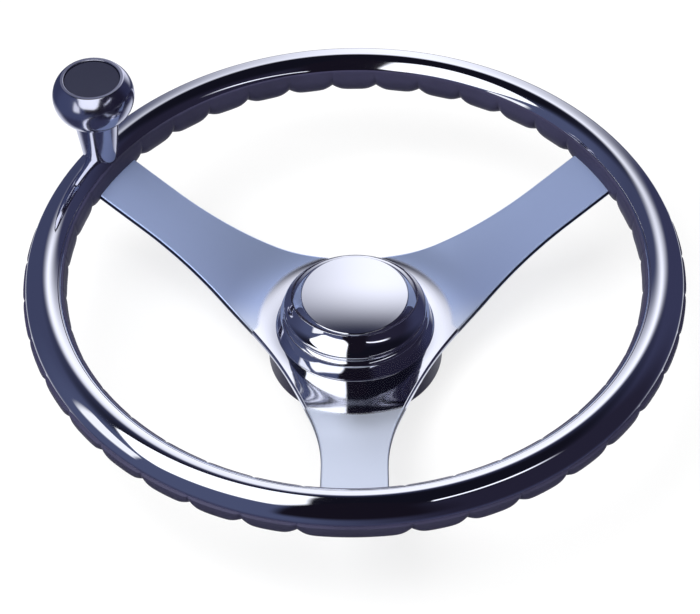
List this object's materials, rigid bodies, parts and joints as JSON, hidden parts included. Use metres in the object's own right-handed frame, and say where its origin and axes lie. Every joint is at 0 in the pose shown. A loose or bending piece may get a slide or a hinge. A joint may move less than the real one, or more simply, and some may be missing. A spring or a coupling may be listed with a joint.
{
  "type": "boat steering wheel",
  "caption": "Three-spoke stainless boat steering wheel with a finger-grip rim, a clip-on centre cap and a spinner knob that turns freely.",
  "frame": {"origin": "on the wheel's axis, at the hub's back face, where the shaft's taper enters", "axes": "+Z along the wheel's axis towards the helmsman; +Y through the middle of the window opposite the lowest spoke; +X to the right as the helmsman sees the wheel"},
  "size_m": [0.3458, 0.3458, 0.1255],
  "materials": {
    "polished_steel": "mirror-polished stainless steel",
    "satin_steel": "bright satin stainless steel",
    "turned_steel": "turned stainless steel",
    "grip_rubber": "matte moulded grip with a soft sheen",
    "drum_plastic": "fine matte moulding",
    "insert_plastic": "smooth matte disc",
    "bush_plastic": "natural acetal",
    "core_plastic": "plain moulding"
  },
  "bodies": {
    "root": {"rim_tube": "polished_steel", "rim_grip": "grip_rubber", "spoke_spider": "satin_steel", "hub_sleeve": "turned_steel", "hub_screws": "turned_steel", "cap_retainer": "turned_steel", "centre_cap": "polished_steel", "hub_shroud": "drum_plastic", "shroud_screws": "turned_steel", "knob_pedestal": "polished_steel", "saddle_washer": "turned_steel", "pedestal_bolt": "turned_steel", "access_plug": "drum_plastic", "axle_spacer": "turned_steel", "retaining_washer": "turned_steel", "axle_bolt": "turned_steel"},
    "knob": {"knob_shell": "polished_steel", "knob_core": "core_plastic", "lower_bush": "bush_plastic", "upper_bush": "bush_plastic", "knob_insert": "insert_plastic"}
  },
  "joints": [
    {"name": "knob_spin", "type": "hinge", "parent": "root", "child": "knob", "pos_m": [-0.13843, 0.08318, 0.11], "axis": [0, 0, 1], "continuous": true}
  ]
}
